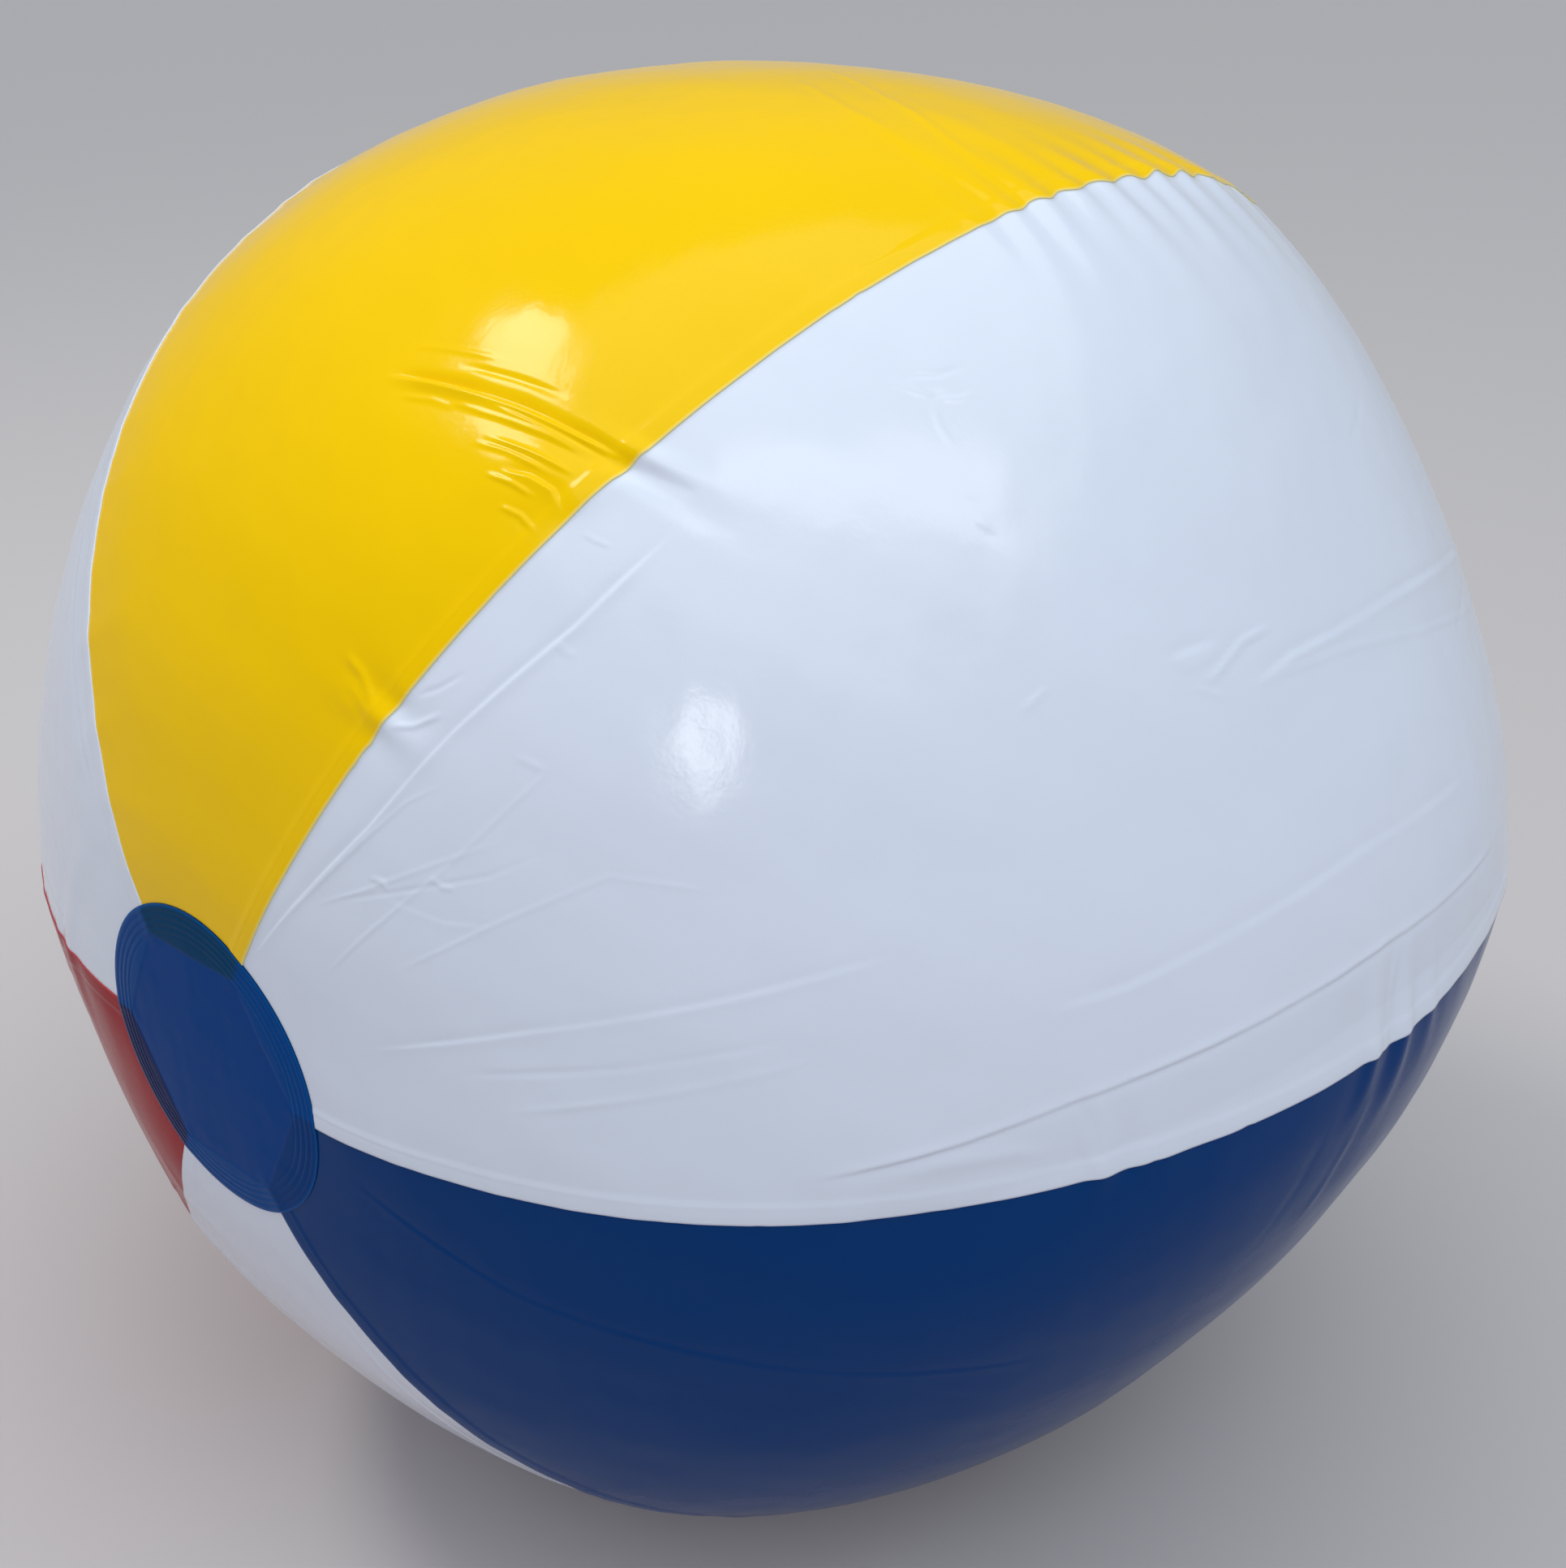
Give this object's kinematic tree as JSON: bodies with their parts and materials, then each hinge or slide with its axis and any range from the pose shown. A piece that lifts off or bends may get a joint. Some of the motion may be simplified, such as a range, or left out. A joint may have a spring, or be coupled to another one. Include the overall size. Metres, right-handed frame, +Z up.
{
  "type": "inflatable beach ball",
  "caption": "Inflatable beach ball of welded glossy vinyl panels in yellow, white, blue and red, closed by round blue end discs, with a push-in inflation valve.",
  "frame": {"origin": "on the ball's pole axis, midway between the two end discs; the flattened patch under the ball puts it 0.6 mm below the middle of the bounds", "axes": "+Z up, through the middle of the yellow panel; -Z towards the floor, through the middle of a white panel; Y along the axis through the end discs; +X towards the seam between the white_right and blue panels"},
  "size_m": [0.4048, 0.3826, 0.386],
  "materials": {
    "yellow_vinyl": "gloss",
    "white_vinyl": "gloss",
    "blue_vinyl": "gloss",
    "red_vinyl": "gloss",
    "disc_vinyl": "gloss",
    "valve_vinyl": "satin"
  },
  "bodies": {
    "ball": {"panel_yellow": "yellow_vinyl", "panel_white_right": "white_vinyl", "panel_blue": "blue_vinyl", "panel_white_bottom": "white_vinyl", "panel_red": "red_vinyl", "panel_white_left": "white_vinyl", "end_disc_front": "disc_vinyl", "end_disc_back": "disc_vinyl", "valve_flange": "valve_vinyl", "valve_skirt": "valve_vinyl"},
    "stem": {"valve_stem": "valve_vinyl", "plug_strap": "valve_vinyl"},
    "plug": {"valve_plug": "valve_vinyl"},
    "flap": {"check_flap": "valve_vinyl"}
  },
  "joints": [
    {"name": "stem_slide", "type": "slide", "parent": "ball", "child": "stem", "axis": [-0.4967, 0.8192, 0.2868], "range_m": [0, 0.03], "deforming": ["valve_skirt"]},
    {"name": "plug_hinge", "type": "hinge", "parent": "stem", "child": "plug", "pos_m": [-0.10281, 0.16152, 0.05936], "axis": [0.5, 0, 0.866], "range_deg": [0, 110]},
    {"name": "flap_hinge", "type": "hinge", "parent": "stem", "child": "flap", "pos_m": [-0.09344, 0.15201, 0.05395], "axis": [-0.5, 0, -0.866], "range_deg": [0, 60], "stiffness_Nm_per_rad": 0.0001}
  ]
}
